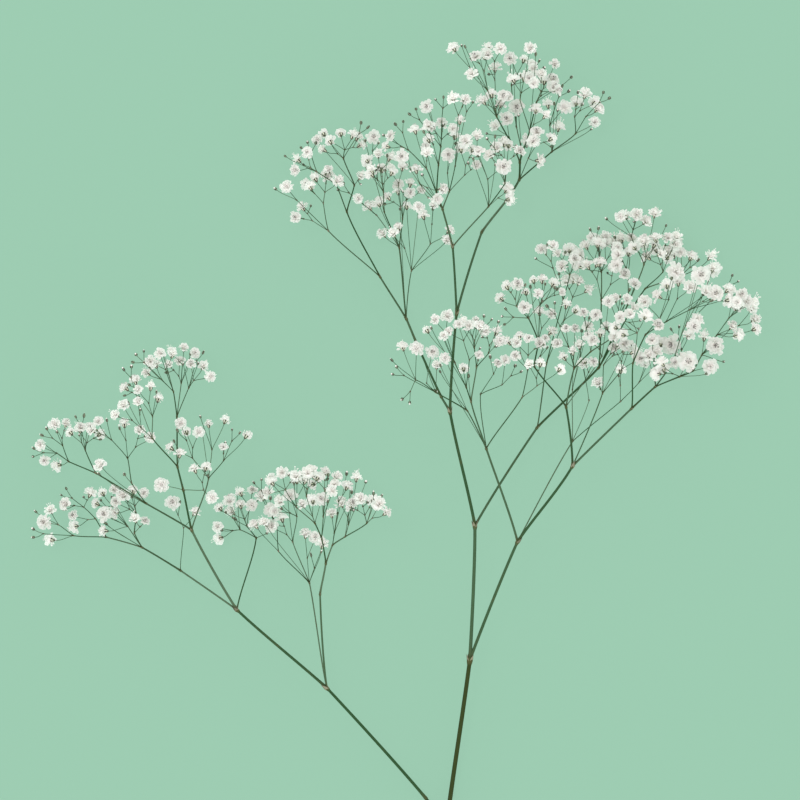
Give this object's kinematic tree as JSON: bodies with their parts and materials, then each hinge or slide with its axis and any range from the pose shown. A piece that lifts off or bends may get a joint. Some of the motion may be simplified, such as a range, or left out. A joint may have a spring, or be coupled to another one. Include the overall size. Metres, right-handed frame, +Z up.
{
  "type": "gypsophila stem",
  "caption": "Cut stem of gypsophila lying on its side, with forking green branches and sprays of small double white flowers and buds.",
  "frame": {"origin": "on the surface the stem lies on, below the middle of its bounding box", "axes": "+X across the plant, +Y along the stem from the cut end to the crown, +Z up from the surface"},
  "size_m": [0.439, 0.5104, 0.1065],
  "materials": {
    "stem": "smooth, waxy",
    "petal": "papery, matt"
  },
  "bodies": {
    "root": {"main_stem": "stem", "spray_left_inner": "petal", "spray_umbel": "petal", "spray_left_thin": "petal", "spray_left_low": "petal", "spray_left_high": "petal", "spray_dome_back": "petal", "spray_crown_far": "petal", "spray_crown_right": "petal", "spray_crown_left": "petal", "spray_crown_middle": "petal", "spray_middle": "petal", "spray_dome_thin": "petal", "spray_dome_left": "petal", "spray_dome_inner": "petal", "spray_dome_right": "petal"}
  },
  "joints": []
}
